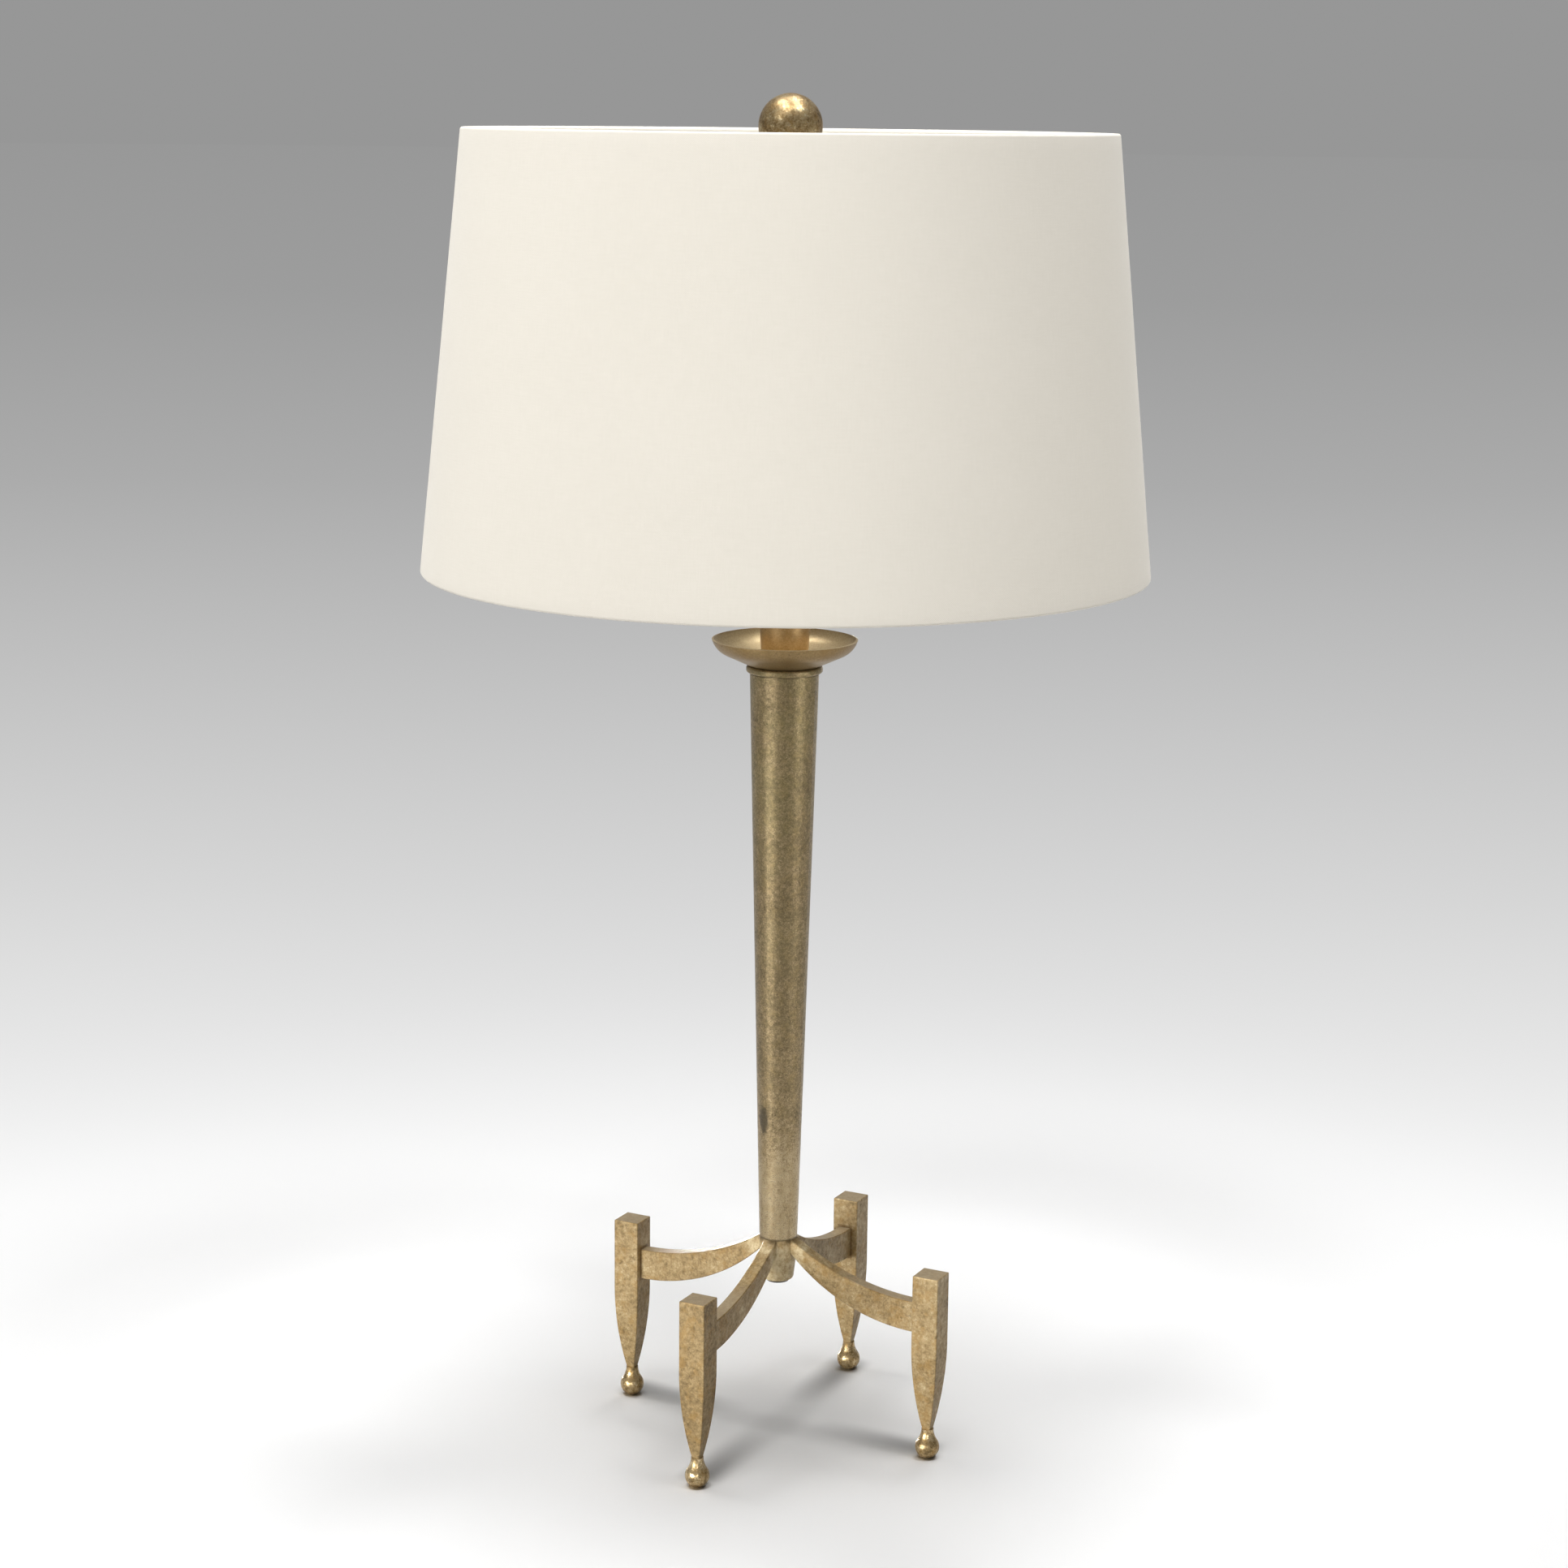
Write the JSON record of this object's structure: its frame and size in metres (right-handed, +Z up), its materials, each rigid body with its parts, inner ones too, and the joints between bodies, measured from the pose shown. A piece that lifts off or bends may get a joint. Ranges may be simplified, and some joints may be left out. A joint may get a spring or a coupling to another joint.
{
  "type": "table lamp",
  "caption": "Gilt metal table lamp: ball-footed square posts on swept arms, a tapered column, a drip saucer with a candle cup, and an ivory drum shade held on a harp by a ball finial.",
  "frame": {"origin": "on the table, under the column's axis, midway between the ball feet", "axes": "+Z up the column; the arms and posts lie along X and Y; the switch key points along -Y, and the harp lies in the XZ plane"},
  "size_m": [0.4329, 0.433, 0.8235],
  "materials": {
    "gilt": "antique gold leaf on iron, mottled and slightly grainy",
    "gilt_polished": "burnished antique gold",
    "gilt_brown": "brown-gold lacquer",
    "steel": "plain zinc-plated steel",
    "brass": "lacquered brass",
    "black_plastic": "moulded black",
    "insulating_card": "pressed insulating card",
    "bulb_metal": "rolled screw cap",
    "bulb_glass": "frosted white glass",
    "linen": "ivory plain-weave linen",
    "shade_lining": "white styrene lining"
  },
  "bodies": {
    "stand": {"post_right": "gilt", "post_back": "gilt", "post_left": "gilt", "post_front": "gilt", "arm_right": "gilt", "arm_back": "gilt", "arm_left": "gilt", "arm_front": "gilt", "hub": "gilt", "hub_cap": "gilt", "column": "gilt", "collar": "gilt", "saucer": "gilt", "ball_foot_right": "gilt_polished", "ball_foot_back": "gilt_polished", "ball_foot_left": "gilt_polished", "ball_foot_front": "gilt_polished", "candle_cup": "gilt_brown", "cup_lid": "gilt_brown", "lamp_pipe": "steel", "hub_nut": "steel", "hub_washer": "steel", "harp_saddle": "brass", "harp_wire": "brass", "harp_seat": "brass", "socket_cap": "brass", "socket_shell": "brass", "screw_shell": "brass", "centre_contact": "brass", "terminal_screws": "brass", "switch_core": "black_plastic", "lead_bushing": "black_plastic", "socket_liner": "insulating_card"},
    "shade": {"shade_fabric": "linen", "shade_liner": "shade_lining", "hem_top": "linen", "hem_bottom": "linen", "shade_top_ring": "steel", "shade_bottom_ring": "steel", "fitter_washer": "brass", "fitter_spoke_1": "brass", "fitter_spoke_2": "brass", "fitter_spoke_3": "brass"},
    "finial": {"finial_ball": "gilt_polished", "finial_bush": "brass"},
    "switch_key": {"switch_key": "black_plastic", "switch_shaft": "brass"},
    "bulb": {"bulb_glass": "bulb_glass", "bulb_cap": "bulb_metal", "bulb_insulator": "black_plastic", "bulb_tip": "bulb_metal"},
    "ferrule_right": {"harp_ferrule_right": "brass"},
    "ferrule_left": {"harp_ferrule_left": "brass"}
  },
  "joints": [
    {"name": "shade_swivel", "type": "hinge", "parent": "stand", "child": "shade", "pos_m": [0, 0, 0.7868], "axis": [0, 0, 1], "continuous": true},
    {"name": "finial_turn", "type": "hinge", "parent": "stand", "child": "finial", "pos_m": [0, 0, 0.8047], "axis": [0, 0, 1], "continuous": true},
    {"name": "bulb_turn", "type": "hinge", "parent": "stand", "child": "bulb", "pos_m": [0, 0, 0.61], "axis": [0, 0, 1], "continuous": true},
    {"name": "key_turn", "type": "hinge", "parent": "stand", "child": "switch_key", "pos_m": [0, -0.02, 0.5725], "axis": [0, -1, 0], "continuous": true},
    {"name": "ferrule_lift_right", "type": "slide", "parent": "stand", "child": "ferrule_right", "axis": [0, 0, 1], "range_m": [0, 0.012]},
    {"name": "ferrule_lift_left", "type": "slide", "parent": "stand", "child": "ferrule_left", "axis": [0, 0, 1], "range_m": [0, 0.012]}
  ]
}
